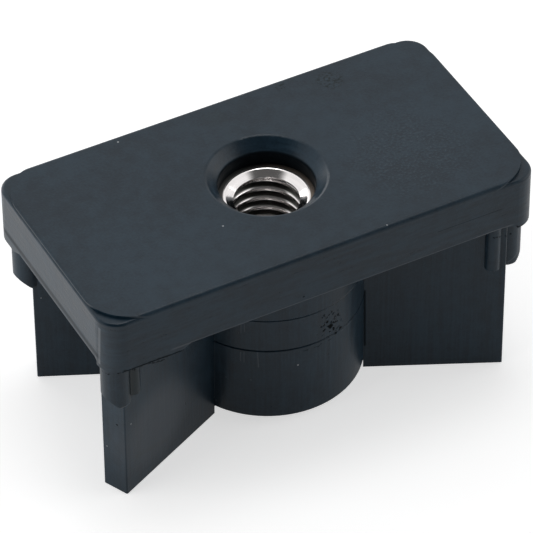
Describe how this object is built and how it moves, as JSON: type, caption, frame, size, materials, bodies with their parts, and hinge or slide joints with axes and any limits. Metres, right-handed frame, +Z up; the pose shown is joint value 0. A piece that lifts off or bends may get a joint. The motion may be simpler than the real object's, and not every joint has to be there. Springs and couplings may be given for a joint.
{
  "type": "rectangular tube insert",
  "caption": "Ribbed plastic plug for the end of a rectangular tube, with a moulded-in threaded steel bush in its head.",
  "frame": {"origin": "on the thread's axis, in the plane of the four ribs' lower ends", "axes": "+Z up along the thread's axis, out of the head; X along the head's long side, Y along its short side"},
  "size_m": [0.048, 0.0248, 0.0247],
  "materials": {
    "plastic": "satin blue-black moulding with fine grain",
    "steel": "bright turned steel"
  },
  "bodies": {
    "root": {"plug_body": "plastic", "threaded_bush": "steel"}
  },
  "joints": []
}
